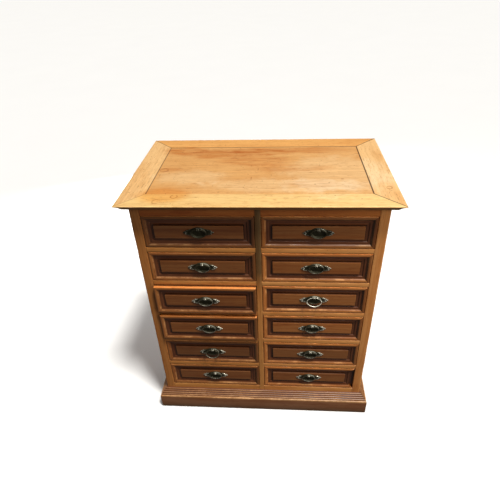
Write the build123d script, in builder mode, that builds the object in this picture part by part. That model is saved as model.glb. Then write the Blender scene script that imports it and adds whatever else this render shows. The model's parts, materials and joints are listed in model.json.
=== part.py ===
"""A bank of twelve drawers in two columns of six, in polished softwood with bronze ring pulls.

The cabinet stands on z = 0 with its centre on the z axis, and its drawers face -y. Boards are separate
solids, cut and placed as they are on the bench: a mitred top, a face frame of stiles, rails and muntin,
runners and guides inside, a wrapped plinth, and twelve drawers that each carry a ring pull.
"""
from build123d import *
import os
from math import cos, radians, sin

# Overall size, in millimetres
TOP_WIDTH = 840.0
TOP_DEPTH = 530.0
HEIGHT = 948.0

# Top: four mitred boards round a flush panel
TOP_THICKNESS = 20.0
TOP_BOARD = 79.0
TOP_OVERHANG = 33.0
SIDE_OVERHANG = 34.0
TOP_FILLET = 3.0
TOP_UNDERCUT = 18.0
TOP_QUIRK = 0.5
TOP_HOLLOW_RADIUS = 60.0
PANEL_THICKNESS = 14.0
PANEL_LEDGE = 9.0
PANEL_GAP = 0.8

# Carcass and face frame
BACK_OVERHANG = 12.0
STILE_WIDTH = 30.0
FRAME_DEPTH = 22.0
MUNTIN_WIDTH = 18.0
SIDE_THICKNESS = 18.0
BACK_THICKNESS = 9.0
BACK_BOARDS = 5
BACK_GAP = 0.6
BOTTOM_THICKNESS = 10.0

# Drawer openings: equal, one above the other, with a rail between each two
ROWS = 6
RAIL_THICKNESS = 18.0
OPENING_HEIGHT = 115.3
FRIEZE_HEIGHT = 30.4

# Runners, guides and kickers behind the rails
RUNNER_WIDTH = 30.0
GUIDE_HEIGHT = 14.0
GUIDE_GAP = 0.5

# Plinth
PLINTH_HEIGHT = 69.0
PLINTH_PROJECTION = 28.0
PLINTH_ROUND = 4.0
BEARER_HEIGHT = 45.0
BEARER_WIDTH = 30.0
PLINTH_MOULDING_HEIGHT = 24.0
PLINTH_MOULDING_STEPS = 4
PLINTH_MOULDING_LIP = 4.0
REED_RADIUS = 5.4

# Drawer fronts: a board with a raised field, framed by mitred mouldings
SIDE_GAP = 1.5
TOP_GAP = 1.4
BOTTOM_GAP = 0.6
MOULDING_WIDTH = 31.5
QUIRK_WIDTH = 2.0
FIELD_RECESS = 2.0
FIELD_RISE = 8.0
BOARD_THICKNESS = 14.0
NOSE_HEIGHT = 2.5
REED_START = (18.0, -3.2)

# Drawer boxes
BOX_SIDE = 10.0
BOX_HEIGHT = 98.0
BOX_BACK_DROP = 4.0
BOX_BACK_GAP = 14.0
BOX_BOTTOM = 6.0
BOX_BOTTOM_LIFT = 8.0
GROOVE_DEPTH = 4.0
GROOVE_SLACK = 0.2

# The drawer moulding whose nose has broken away, and the width that is gone
BROKEN_MOULDING = ("right", 6, "right")
LOST_NOSE = 14.0

# How far the two drawers that stand ajar are pulled out, by column and row
AJAR = {("left", 3): 14.5, ("left", 4): 10.5}

# Ring pulls
PLATE_THICKNESS = 2.0
DISH_WIDTH = 54.0
DISH_HEIGHT = 37.0
WING_SPAN = 96.0
PIVOT_RISE = 12.0
PIVOT_STAND_OFF = 6.0
EYE_RADIUS = 4.0
EYE_LENGTH = 8.0
STEM_RADIUS = 2.0
STEM_CLEARANCE = 0.1
NUT_SIZE = 9.0
NUT_THICKNESS = 3.5
STEM_BEYOND_NUT = 1.5
PIN_RADIUS = 0.9
PIN_HEAD_RADIUS = 1.7
PIN_HEAD_HEIGHT = 0.8
PIN_LENGTH = 9.0
PIN_SPACING = 74.0
WIRE_RADIUS = 1.8
RING_CLEARANCE = 0.05
RING_FLAT = 10.0
SHOULDER_RADIUS = 23.6
END_RADIUS = 8.3
SHOULDER_TURN = 45.0
END_TURN = 85.0

# Rings that stand away from their plates, in degrees, by column and row
SWUNG = {("left", 5): 35.0, ("right", 3): 35.0}

# Levels and planes that follow from the sizes above
FACE_Y = TOP_OVERHANG - TOP_DEPTH / 2
BACK_Y = TOP_DEPTH / 2 - BACK_OVERHANG
FRAME_BACK_Y = FACE_Y + FRAME_DEPTH
CARCASS_X = TOP_WIDTH / 2 - SIDE_OVERHANG
SIDE_INNER_X = CARCASS_X - SIDE_THICKNESS
OPENING_OUTER_X = CARCASS_X - STILE_WIDTH
OPENING_INNER_X = MUNTIN_WIDTH / 2
OPENING_WIDTH = OPENING_OUTER_X - OPENING_INNER_X
OPENING_CENTRE_X = (OPENING_OUTER_X + OPENING_INNER_X) / 2
TOP_UNDERSIDE = HEIGHT - TOP_THICKNESS
FIRST_OPENING_TOP = TOP_UNDERSIDE - FRIEZE_HEIGHT
ROW_PITCH = OPENING_HEIGHT + RAIL_THICKNESS
LAST_OPENING_BOTTOM = FIRST_OPENING_TOP - OPENING_HEIGHT - (ROWS - 1) * ROW_PITCH
PLINTH_X = CARCASS_X + PLINTH_PROJECTION
PLINTH_FRONT_Y = FACE_Y - PLINTH_PROJECTION
INNER_BACK_Y = BACK_Y - BACK_THICKNESS
BOTTOM_TOP = LAST_OPENING_BOTTOM - RAIL_THICKNESS

FRONT_WIDTH = OPENING_WIDTH - 2 * SIDE_GAP
FRONT_HEIGHT = OPENING_HEIGHT - TOP_GAP - BOTTOM_GAP
FIELD_WIDTH = FRONT_WIDTH - 2 * (MOULDING_WIDTH + QUIRK_WIDTH)
FIELD_HEIGHT = FRONT_HEIGHT - 2 * (MOULDING_WIDTH + QUIRK_WIDTH)
BOARD_BACK = FIELD_RISE + BOARD_THICKNESS


def board(label, x, y, z):
    """A plain board that fills the given x, y and z spans."""
    with BuildPart() as plank:
        with BuildSketch(Plane.XY.offset(z[0])):
            with Locations(((x[0] + x[1]) / 2, (y[0] + y[1]) / 2)):
                Rectangle(x[1] - x[0], y[1] - y[0])
        extrude(amount=z[1] - z[0])
    plank.part.label = label
    return plank.part


def mitred_strip(label, frame, size, side, outline, mitred_ends=(1, -1)):
    """One strip of a frame that lies in the plane frame, with outer width and height size.

    Sides 0 to 3 are right, top, left and bottom. The outline draws the section, with x running inwards
    from the outer edge and y out of the frame. Ends that aren't mitred are left square.
    """
    outward = (frame.x_dir, frame.y_dir, -frame.x_dir, -frame.y_dir)[side]
    along = frame.z_dir.cross(outward)
    reach = size[side % 2] / 2
    half_length = size[1 - side % 2] / 2
    section = Plane(origin=frame.origin + outward * reach, x_dir=-outward, z_dir=along)
    with BuildPart() as strip:
        with BuildSketch(section):
            with BuildLine():
                outline()
            make_face()
        extrude(amount=half_length, both=True)
        for end in mitred_ends:
            corner = section.origin + along * (end * half_length)
            split(bisect_by=Plane(origin=corner, z_dir=along * end - outward), keep=Keep.BOTTOM)
    strip.part.label = label
    return strip.part


def save(name, pieces):
    """Write the separate solids of one node as a group."""
    group = Compound(label=name, children=pieces)
    export_step(group, f"parts/{name}.step")


# ---------------------------------------------------------------- top


def top_board_outline():
    """A thin square fillet over a shallow hollow bevel, with a ledge that carries the panel."""
    Line((0, 0), (TOP_BOARD, 0))
    Line((TOP_BOARD, 0), (TOP_BOARD, -PANEL_THICKNESS))
    Line((TOP_BOARD, -PANEL_THICKNESS), (TOP_BOARD + PANEL_LEDGE, -PANEL_THICKNESS))
    Line((TOP_BOARD + PANEL_LEDGE, -PANEL_THICKNESS), (TOP_BOARD + PANEL_LEDGE, -TOP_THICKNESS))
    Line((TOP_BOARD + PANEL_LEDGE, -TOP_THICKNESS), (TOP_UNDERCUT, -TOP_THICKNESS))
    RadiusArc((TOP_UNDERCUT, -TOP_THICKNESS), (TOP_QUIRK, -TOP_FILLET), TOP_HOLLOW_RADIUS)
    Line((TOP_QUIRK, -TOP_FILLET), (0, -TOP_FILLET))
    Line((0, -TOP_FILLET), (0, 0))


def make_top():
    surface = Plane.XY.offset(HEIGHT)
    names = ("top_right", "top_back", "top_left", "top_front")
    size = (TOP_WIDTH, TOP_DEPTH)
    strips = [mitred_strip(names[side], surface, size, side, top_board_outline) for side in range(4)]
    save("top_frame", strips)

    half_x = TOP_WIDTH / 2 - TOP_BOARD - PANEL_GAP
    half_y = TOP_DEPTH / 2 - TOP_BOARD - PANEL_GAP
    panel = board("top_centre_panel", (-half_x, half_x), (-half_y, half_y),
                  (HEIGHT - PANEL_THICKNESS, HEIGHT))
    export_step(panel, "parts/top_centre_panel.step")


# ---------------------------------------------------------------- carcass


def side_board(label, direction):
    """A carcass side, rebated at its back edge for the back boards."""
    centre_x = direction * (SIDE_INNER_X + SIDE_THICKNESS / 2)
    rebate_x = direction * (SIDE_INNER_X + BACK_THICKNESS / 2)
    with BuildPart() as side:
        with BuildSketch(Plane.XY.offset(BEARER_HEIGHT)):
            with Locations((centre_x, (FRAME_BACK_Y + BACK_Y) / 2)):
                Rectangle(SIDE_THICKNESS, BACK_Y - FRAME_BACK_Y)
            with Locations((rebate_x, BACK_Y - BACK_THICKNESS / 2)):
                Rectangle(BACK_THICKNESS, BACK_THICKNESS, mode=Mode.SUBTRACT)
        extrude(amount=TOP_UNDERSIDE - BEARER_HEIGHT)
    side.part.label = label
    return side.part


def make_carcass():
    frame_y = (FACE_Y, FRAME_BACK_Y)
    full_z = (BEARER_HEIGHT, TOP_UNDERSIDE)
    inner_x = (OPENING_INNER_X, OPENING_OUTER_X)

    save("carcass_sides", [side_board("left_side", -1), side_board("right_side", 1)])

    stiles = [board("left_stile", (-CARCASS_X, -OPENING_OUTER_X), frame_y, full_z),
              board("right_stile", (OPENING_OUTER_X, CARCASS_X), frame_y, full_z)]
    save("front_stiles", stiles)

    muntin = board("centre_muntin", (-OPENING_INNER_X, OPENING_INNER_X), frame_y, full_z)
    export_step(muntin, "parts/centre_muntin.step")

    rails = []
    for mark in (-1, 1):
        span_x = tuple(sorted(mark * x for x in inner_x))
        rails.append(board("frieze_rail", span_x, frame_y, (FIRST_OPENING_TOP, TOP_UNDERSIDE)))
        for row in range(1, ROWS):
            rail_top = FIRST_OPENING_TOP - OPENING_HEIGHT - (row - 1) * ROW_PITCH
            rails.append(board("rail", span_x, frame_y, (rail_top - RAIL_THICKNESS, rail_top)))
        rails.append(board("bottom_rail", span_x, frame_y, (BEARER_HEIGHT, LAST_OPENING_BOTTOM)))
    save("front_rails", rails)

    partition = board("centre_partition", (-OPENING_INNER_X, OPENING_INNER_X),
                      (FRAME_BACK_Y, INNER_BACK_Y), (BOTTOM_TOP, TOP_UNDERSIDE))
    export_step(partition, "parts/centre_partition.step")

    floor = board("bottom_board", (-SIDE_INNER_X, SIDE_INNER_X), (FRAME_BACK_Y, INNER_BACK_Y),
                  (BOTTOM_TOP - BOTTOM_THICKNESS, BOTTOM_TOP))
    export_step(floor, "parts/bottom_board.step")

    rebate_x = SIDE_INNER_X + BACK_THICKNESS
    width = 2 * rebate_x / BACK_BOARDS
    backs = []
    for index in range(BACK_BOARDS):
        left = -rebate_x + index * width
        span_x = (left + BACK_GAP / 2, left + width - BACK_GAP / 2)
        backs.append(board("back_board", span_x, (INNER_BACK_Y, BACK_Y), full_z))
    save("back_boards", backs)


def make_runners():
    """Runners under every drawer, kickers over the top pair, and guides beside the outer sides."""
    run_y = (FRAME_BACK_Y, INNER_BACK_Y)
    pieces = []
    for level in range(ROWS + 1):
        low = FIRST_OPENING_TOP - level * ROW_PITCH
        span_z = (low, low + RAIL_THICKNESS)
        for mark in (-1, 1):
            outer = sorted((mark * (SIDE_INNER_X - RUNNER_WIDTH), mark * SIDE_INNER_X))
            inner = sorted((mark * OPENING_INNER_X, mark * (OPENING_INNER_X + RUNNER_WIDTH)))
            name = "runner" if level else "kicker"
            pieces.append(board("outer_" + name, outer, run_y, span_z))
            pieces.append(board("inner_" + name, inner, run_y, span_z))
            if level:
                guide = sorted((mark * (OPENING_OUTER_X - GUIDE_GAP), mark * SIDE_INNER_X))
                pieces.append(board("guide", guide, run_y, (span_z[1], span_z[1] + GUIDE_HEIGHT)))
    save("drawer_runners", pieces)


# ---------------------------------------------------------------- plinth


def plinth_board_outline():
    """An upright board, rounded along its upper outer arris; the plinth's plane is its top."""
    Line((PLINTH_ROUND, 0), (PLINTH_PROJECTION, 0))
    Line((PLINTH_PROJECTION, 0), (PLINTH_PROJECTION, -PLINTH_HEIGHT))
    Line((PLINTH_PROJECTION, -PLINTH_HEIGHT), (0, -PLINTH_HEIGHT))
    Line((0, -PLINTH_HEIGHT), (0, -PLINTH_ROUND))
    RadiusArc((0, -PLINTH_ROUND), (PLINTH_ROUND, 0), PLINTH_ROUND)


def plinth_moulding_outline():
    """Rounded reeds that step back from the plinth to the carcass."""
    run = PLINTH_PROJECTION - PLINTH_ROUND - PLINTH_MOULDING_LIP
    step_in = run / PLINTH_MOULDING_STEPS
    step_up = PLINTH_MOULDING_HEIGHT / PLINTH_MOULDING_STEPS
    for step in range(PLINTH_MOULDING_STEPS):
        low = (PLINTH_ROUND + step * step_in, step * step_up)
        high = (low[0] + step_in, low[1] + step_up)
        RadiusArc(low, high, REED_RADIUS)
    Line((PLINTH_ROUND + run, PLINTH_MOULDING_HEIGHT), (PLINTH_PROJECTION, PLINTH_MOULDING_HEIGHT))
    Line((PLINTH_PROJECTION, PLINTH_MOULDING_HEIGHT), (PLINTH_PROJECTION, 0))
    Line((PLINTH_PROJECTION, 0), (PLINTH_ROUND, 0))


def make_plinth():
    centre = (0, (PLINTH_FRONT_Y + BACK_Y) / 2, PLINTH_HEIGHT)
    frame = Plane(origin=centre, x_dir=(1, 0, 0), z_dir=(0, 0, 1))
    size = (2 * PLINTH_X, BACK_Y - PLINTH_FRONT_Y)
    mitres = {0: (-1,), 2: (1,), 3: (1, -1)}
    names = {0: "right", 2: "left", 3: "front"}
    boards = []
    mouldings = []
    for side, ends in mitres.items():
        name = names[side]
        boards.append(mitred_strip(name + "_plinth", frame, size, side, plinth_board_outline, ends))
        mouldings.append(mitred_strip(name + "_moulding", frame, size, side, plinth_moulding_outline, ends))

    bearer_z = (0, BEARER_HEIGHT)
    inside_x = CARCASS_X - BEARER_WIDTH
    boards.append(board("front_bearer", (-CARCASS_X, CARCASS_X), (FACE_Y, FACE_Y + BEARER_WIDTH), bearer_z))
    boards.append(board("back_bearer", (-CARCASS_X, CARCASS_X), (BACK_Y - BEARER_WIDTH, BACK_Y), bearer_z))
    side_y = (FACE_Y + BEARER_WIDTH, BACK_Y - BEARER_WIDTH)
    boards.append(board("left_bearer", (-CARCASS_X, -inside_x), side_y, bearer_z))
    boards.append(board("right_bearer", (inside_x, CARCASS_X), side_y, bearer_z))
    save("plinth_boards", boards)
    save("plinth_moulding", mouldings)


# ---------------------------------------------------------------- drawers


def moulding_inner_side():
    """The reed and the low flat beside the field, down to the board."""
    RadiusArc(REED_START, (23.0, -4.6), 3.2)
    Line((23.0, -4.6), (24.0, -5.6))
    Line((24.0, -5.6), (MOULDING_WIDTH, -6.2))
    Line((MOULDING_WIDTH, -6.2), (MOULDING_WIDTH, -FIELD_RISE))


def front_moulding_outline():
    """Section of a drawer front's moulding: a rounded nose, a hollow, a reed and a low flat."""
    Line((0, -FIELD_RISE), (0, 0.5))
    ThreePointArc((0, 0.5), (3.5, 1.9), (8.5, NOSE_HEIGHT))
    ThreePointArc((8.5, NOSE_HEIGHT), (11.0, 1.7), (12.0, 0.5))
    ThreePointArc((12.0, 0.5), (14.0, -2.2), REED_START)
    moulding_inner_side()
    Line((MOULDING_WIDTH, -FIELD_RISE), (0, -FIELD_RISE))


def broken_moulding_outline():
    """What is left of a moulding whose nose has broken away."""
    Line((LOST_NOSE, -FIELD_RISE), (LOST_NOSE, -2.0))
    Line((LOST_NOSE, -2.0), REED_START)
    moulding_inner_side()
    Line((MOULDING_WIDTH, -FIELD_RISE), (LOST_NOSE, -FIELD_RISE))


def make_front(name, column, row, face):
    """The front board with its raised field, and the four mitred mouldings planted round it."""
    with BuildPart() as panel:
        with BuildSketch(face.offset(-BOARD_BACK)):
            Rectangle(FRONT_WIDTH, FRONT_HEIGHT)
        extrude(amount=BOARD_THICKNESS)
        with BuildSketch(face.offset(-FIELD_RISE)):
            Rectangle(FIELD_WIDTH, FIELD_HEIGHT)
        extrude(amount=FIELD_RISE)
        with BuildSketch(face.offset(-BOARD_BACK)):
            with Locations((0, PIVOT_RISE)):
                Circle(STEM_RADIUS + STEM_CLEARANCE)
        extrude(amount=BOARD_BACK, mode=Mode.SUBTRACT)
        with BuildSketch(face):
            with GridLocations(PIN_SPACING, 0, 2, 1):
                Circle(PIN_RADIUS + STEM_CLEARANCE)
        extrude(amount=-PIN_LENGTH - STEM_CLEARANCE, mode=Mode.SUBTRACT)
    panel.part.label = "front_board"
    pieces = [panel.part]
    for side, edge in enumerate(("right", "top", "left", "bottom")):
        broken = (column, row, edge) == BROKEN_MOULDING
        outline = broken_moulding_outline if broken else front_moulding_outline
        pieces.append(mitred_strip(edge + "_moulding", face, (FRONT_WIDTH, FRONT_HEIGHT), side, outline))
    save(name + "_front", pieces)


def make_box(name, face):
    """Sides, back and bottom; the bottom slides in grooves in the sides."""
    front_y = face.origin.Y + BOARD_BACK
    back_y = front_y + (INNER_BACK_Y - BOX_BACK_GAP) - (FACE_Y + FIELD_RECESS + BOARD_BACK)
    low = face.origin.Z - FRONT_HEIGHT / 2
    bottom_z = (low + BOX_BOTTOM_LIFT, low + BOX_BOTTOM_LIFT + BOX_BOTTOM)
    pieces = []
    for mark, label in ((-1, "left_side"), (1, "right_side")):
        outer = face.origin.X + mark * FRONT_WIDTH / 2
        inner = outer - mark * BOX_SIDE
        groove = inner + mark * GROOVE_DEPTH / 2
        with BuildPart() as side:
            with BuildSketch(Plane.XZ.offset(-front_y)):
                with Locations(((outer + inner) / 2, low + BOX_HEIGHT / 2)):
                    Rectangle(BOX_SIDE, BOX_HEIGHT)
                with Locations((groove, sum(bottom_z) / 2)):
                    Rectangle(GROOVE_DEPTH, BOX_BOTTOM + GROOVE_SLACK, mode=Mode.SUBTRACT)
            extrude(amount=front_y - back_y)
        side.part.label = label
        pieces.append(side.part)
    inside_x = FRONT_WIDTH / 2 - BOX_SIDE
    bottom_x = inside_x + GROOVE_DEPTH - GROOVE_SLACK
    centre = face.origin.X
    pieces.append(board("back", (centre - inside_x, centre + inside_x), (back_y - BOX_SIDE, back_y),
                        (bottom_z[1], low + BOX_HEIGHT - BOX_BACK_DROP)))
    pieces.append(board("bottom", (centre - bottom_x, centre + bottom_x), (front_y, back_y), bottom_z))
    save(name + "_box", pieces)


def make_handle(name, face):
    """The plate, the eye bolt that carries the ring, its nut inside the drawer, and two pins."""
    half_dish = DISH_WIDTH / 2
    with BuildPart() as plate:
        with BuildSketch(face):
            Ellipse(half_dish, DISH_HEIGHT / 2)
            for mark in (-1, 1):
                with BuildLine():
                    Polyline((mark * 16, 13), (mark * 36, 9), (mark * WING_SPAN / 2, 0),
                             (mark * 37, -10), (mark * 16, -13), close=True)
                make_face()
            with Locations((0, PIVOT_RISE)):
                Circle(STEM_RADIUS + STEM_CLEARANCE, mode=Mode.SUBTRACT)
            with GridLocations(PIN_SPACING, 0, 2, 1):
                Circle(PIN_RADIUS + STEM_CLEARANCE, mode=Mode.SUBTRACT)
        extrude(amount=PLATE_THICKNESS)
    plate.part.label = "plate"

    pivot = face.origin + face.y_dir * PIVOT_RISE + face.z_dir * PIVOT_STAND_OFF
    across = Plane(origin=pivot, x_dir=(0, 1, 0), z_dir=(1, 0, 0))
    stem_end = PIVOT_STAND_OFF + BOARD_BACK + NUT_THICKNESS + STEM_BEYOND_NUT
    with BuildPart() as eye:
        with BuildSketch(across):
            Circle(EYE_RADIUS)
        extrude(amount=EYE_LENGTH / 2, both=True)
        with BuildSketch(Plane(origin=pivot, x_dir=(1, 0, 0), z_dir=(0, 1, 0))):
            Circle(STEM_RADIUS)
        extrude(amount=stem_end)
        with BuildSketch(across):
            Circle(WIRE_RADIUS + RING_CLEARANCE)
        extrude(amount=EYE_LENGTH, both=True, mode=Mode.SUBTRACT)
    eye.part.label = "eye_bolt"

    with BuildPart() as nut:
        with BuildSketch(face.offset(-BOARD_BACK - NUT_THICKNESS)):
            with Locations((0, PIVOT_RISE)):
                Rectangle(NUT_SIZE, NUT_SIZE)
                Circle(STEM_RADIUS + STEM_CLEARANCE, mode=Mode.SUBTRACT)
        extrude(amount=NUT_THICKNESS)
    nut.part.label = "nut"

    pieces = [plate.part, eye.part, nut.part]
    for mark in (-1, 1):
        with BuildPart() as pin:
            with BuildSketch(face.offset(-PIN_LENGTH)):
                with Locations((mark * PIN_SPACING / 2, 0)):
                    Circle(PIN_RADIUS)
            extrude(amount=PIN_LENGTH + PLATE_THICKNESS)
            with BuildSketch(face.offset(PLATE_THICKNESS)):
                with Locations((mark * PIN_SPACING / 2, 0)):
                    Circle(PIN_HEAD_RADIUS)
            extrude(amount=PIN_HEAD_HEIGHT)
        pin.part.label = "pin"
        pieces.append(pin.part)
    save(name + "_handle", pieces)


def make_ring(name, face, tilt):
    """An oval ring with a straight top that turns in the eye; tilt swings it out from the plate."""
    pivot = face.origin + face.y_dir * PIVOT_RISE + face.z_dir * PIVOT_STAND_OFF
    swing = radians(tilt)
    plane = Plane(origin=pivot, x_dir=(1, 0, 0), z_dir=(0, -cos(swing), sin(swing)))
    first = radians(SHOULDER_TURN)
    second = radians(SHOULDER_TURN + END_TURN)
    half_flat = RING_FLAT / 2
    side_run = SHOULDER_RADIUS * sin(first) + END_RADIUS * (sin(second) - sin(first))
    base_radius = (half_flat + side_run) / sin(second)
    base_turn = 360 - 2 * (SHOULDER_TURN + END_TURN)
    with BuildPart() as ring:
        with BuildLine(plane) as path:
            flat = Line((-half_flat, 0), (half_flat, 0))
            turns = ((SHOULDER_RADIUS, SHOULDER_TURN), (END_RADIUS, END_TURN), (base_radius, base_turn),
                     (END_RADIUS, END_TURN), (SHOULDER_RADIUS, SHOULDER_TURN))
            last = flat
            for radius, turn in turns:
                last = JernArc(last @ 1, last % 1, radius, -turn)
        with BuildSketch(Plane(origin=path.line @ 0, z_dir=path.line % 0)):
            Circle(WIRE_RADIUS)
        sweep()
    ring.part.label = name + "_ring"
    export_step(ring.part, f"parts/{name}_ring.step")


def make_drawer(column, row):
    mark = -1 if column == "left" else 1
    opening_bottom = FIRST_OPENING_TOP - OPENING_HEIGHT - (row - 1) * ROW_PITCH
    centre_z = opening_bottom + BOTTOM_GAP + FRONT_HEIGHT / 2
    field_y = FACE_Y + FIELD_RECESS - AJAR.get((column, row), 0.0)
    face = Plane(origin=(mark * OPENING_CENTRE_X, field_y, centre_z), x_dir=(1, 0, 0), z_dir=(0, -1, 0))
    name = f"drawer_{column}_{row}"
    make_front(name, column, row, face)
    make_box(name, face)
    make_handle(name, face)
    make_ring(name, face, SWUNG.get((column, row), 0.0))


os.makedirs("parts", exist_ok=True)
make_top()
make_carcass()
make_runners()
make_plinth()
for column in ("left", "right"):
    for row in range(1, ROWS + 1):
        make_drawer(column, row)
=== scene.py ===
"""The bank of twelve drawers, dressed for its picture: polished wood, bronze ring pulls, soft light.

Every board is a swept section with worn arrises. Its vertices carry what the wood materials read:
"grain" (metres along, across and through the board), "base" (the colour of the finish, with painted light and
shade in places) and "wear" (rubbed arrises, and the painted highlight on the drawer mouldings' crests).
"""
import json
import math
import random
from collections import namedtuple

import bmesh
import bpy
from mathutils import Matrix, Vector, noise


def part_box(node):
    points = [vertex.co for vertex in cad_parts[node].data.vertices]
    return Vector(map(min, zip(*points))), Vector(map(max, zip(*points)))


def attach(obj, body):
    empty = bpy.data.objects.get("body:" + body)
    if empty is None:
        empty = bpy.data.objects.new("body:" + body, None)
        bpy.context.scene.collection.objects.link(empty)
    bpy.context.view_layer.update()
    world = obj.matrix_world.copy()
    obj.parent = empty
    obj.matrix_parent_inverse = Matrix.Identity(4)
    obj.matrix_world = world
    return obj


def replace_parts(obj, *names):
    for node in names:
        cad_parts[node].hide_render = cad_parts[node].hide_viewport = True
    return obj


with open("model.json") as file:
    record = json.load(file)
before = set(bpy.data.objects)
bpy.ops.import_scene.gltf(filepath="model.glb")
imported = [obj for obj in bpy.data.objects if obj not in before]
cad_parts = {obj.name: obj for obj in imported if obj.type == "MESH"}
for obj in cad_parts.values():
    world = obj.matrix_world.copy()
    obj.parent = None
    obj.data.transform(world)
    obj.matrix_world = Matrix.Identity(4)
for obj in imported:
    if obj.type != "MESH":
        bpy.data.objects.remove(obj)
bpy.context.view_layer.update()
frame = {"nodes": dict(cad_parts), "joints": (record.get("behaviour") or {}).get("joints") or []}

MM = 0.001
X, Y, Z = Vector((1, 0, 0)), Vector((0, 1, 0)), Vector((0, 0, 1))
AXES = {"X": X, "Y": Y, "Z": Z}
ROWS = 6
chance = random.Random(1887)  # moves each board to its own place in the grain

# Colours of the finish, as the eye sees them (sRGB, 0 to 255); some also carry painted light and shade, as
# noted beside them
PANEL = (228, 172, 106)
# The front board is painted paler than the back board: partly its own colour, partly a painted sheen along
# the front
TOP_FRONT = (246, 205, 136)
TOP_SIDES = (243, 196, 134)
TOP_BACK = (240, 178, 103)
TOP_EDGE = (196, 138, 78)
FRIEZE = (186, 108, 46)
# The right column's stile and rails are painted lighter than the left's: painted light falling from the right
STILES = {"left": (188, 122, 62), "right": (216, 148, 84)}
RAILS = {"left": (202, 136, 70), "right": (216, 149, 83)}
MUNTIN = (200, 136, 72)
LIP = (184, 116, 58)
SLOPE = (104, 58, 29)
CHANNEL = (104, 58, 30)
FIELD = (154, 96, 48)
PLINTH = (150, 102, 70)
PLINTH_REEDS = (122, 74, 42)
SIDE_WOOD = (190, 122, 68)
OLD_PINE = (186, 148, 104)
GRIME = (88, 74, 46)
JOINT_DIRT = (84, 48, 22)
BARE_WOOD = (236, 190, 130)


def linear(colour):
    """An sRGB colour of 0 to 255 as linear light."""
    return Vector([(c / 12.92 if c <= 0.04045 else ((c + 0.055) / 1.055) ** 2.4) for c in
                   [part / 255 for part in colour]])


# ---------------------------------------------------------------- materials


class Paint:
    """A material under construction. Each method adds a node and returns its output socket."""

    def __init__(self, name):
        self.material = bpy.data.materials.new(name)
        self.material.use_nodes = True
        self.tree = self.material.node_tree
        self.shader = self.tree.nodes["Principled BSDF"]

    def node(self, kind, values, output=0, **settings):
        made = self.tree.nodes.new("ShaderNode" + kind)
        for key, value in settings.items():
            setattr(made, key, value)
        for key, value in values.items():
            self.feed(made.inputs[key], value)
        return made.outputs[output]

    def feed(self, socket, value):
        if isinstance(value, bpy.types.NodeSocket):
            self.tree.links.new(value, socket)
        else:
            socket.default_value = value

    def attribute(self, name, output="Fac"):
        return self.node("Attribute", {}, output, attribute_name=name)

    def stretched(self, vector, scale):
        return self.node("VectorMath", {0: vector, 1: scale}, operation="MULTIPLY")

    def noise(self, vector, scale=1.0, detail=3.0, roughness=0.55):
        return self.node("TexNoise", {"Vector": vector, "Scale": scale, "Detail": detail,
                                      "Roughness": roughness})

    def math(self, operation, first, second=0.0):
        return self.node("Math", {0: first, 1: second}, operation=operation)

    def band(self, value, low, high, to_low=0.0, to_high=1.0):
        return self.node("MapRange", {"Value": value, "From Min": low, "From Max": high,
                                      "To Min": to_low, "To Max": to_high}, interpolation_type="SMOOTHSTEP")

    def mix(self, share, first, second, blend="MIX"):
        made = self.tree.nodes.new("ShaderNodeMix")
        made.data_type = "RGBA"
        made.blend_type = blend
        for socket, value in ((made.inputs[0], share), (made.inputs[6], first), (made.inputs[7], second)):
            self.feed(socket, value)
        return made.outputs[2]

    def tinted(self, colour, share, tint, strength=None):
        """The colour multiplied by a tint where share is high; strength scales the share."""
        if strength is not None:
            share = self.math("MULTIPLY", share, strength)
        return self.mix(share, colour, (*tint, 1.0), "MULTIPLY")

    def spot(self, place, centre, radius, ragged=0.3):
        """1 inside a soft ragged spot, 0 outside. centre and radius are metres; radius is (x, y)."""
        shifted = self.node("VectorMath", {0: place, 1: (-centre[0], -centre[1], 0)}, operation="ADD")
        scaled = self.stretched(shifted, (1 / radius[0], 1 / radius[1], 0))
        far = self.node("VectorMath", {0: scaled}, "Value", operation="LENGTH")
        edge = self.noise(place, 28.0, 4.0)
        far = self.math("ADD", far, self.math("MULTIPLY", self.math("SUBTRACT", edge, 0.5), 2 * ragged))
        return self.band(far, 1.1, 0.55)

    def ring_mark(self, place, centre, radius, width):
        """A thin stained ring left by a wet glass or tin."""
        shifted = self.node("VectorMath", {0: place, 1: (-centre[0], -centre[1], 0)}, operation="ADD")
        flat = self.stretched(shifted, (1, 1, 0))
        far = self.node("VectorMath", {0: flat}, "Value", operation="LENGTH")
        off = self.math("ABSOLUTE", self.math("SUBTRACT", far, radius))
        broken = self.band(self.noise(place, 60.0, 2.0), 0.35, 0.6)
        return self.math("MULTIPLY", self.band(off, width, width * 0.3), broken)

    def bump(self, height, distance, strength=0.5):
        made = self.node("Bump", {"Height": height, "Distance": distance, "Strength": strength})
        self.feed(self.shader.inputs["Normal"], made)


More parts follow.
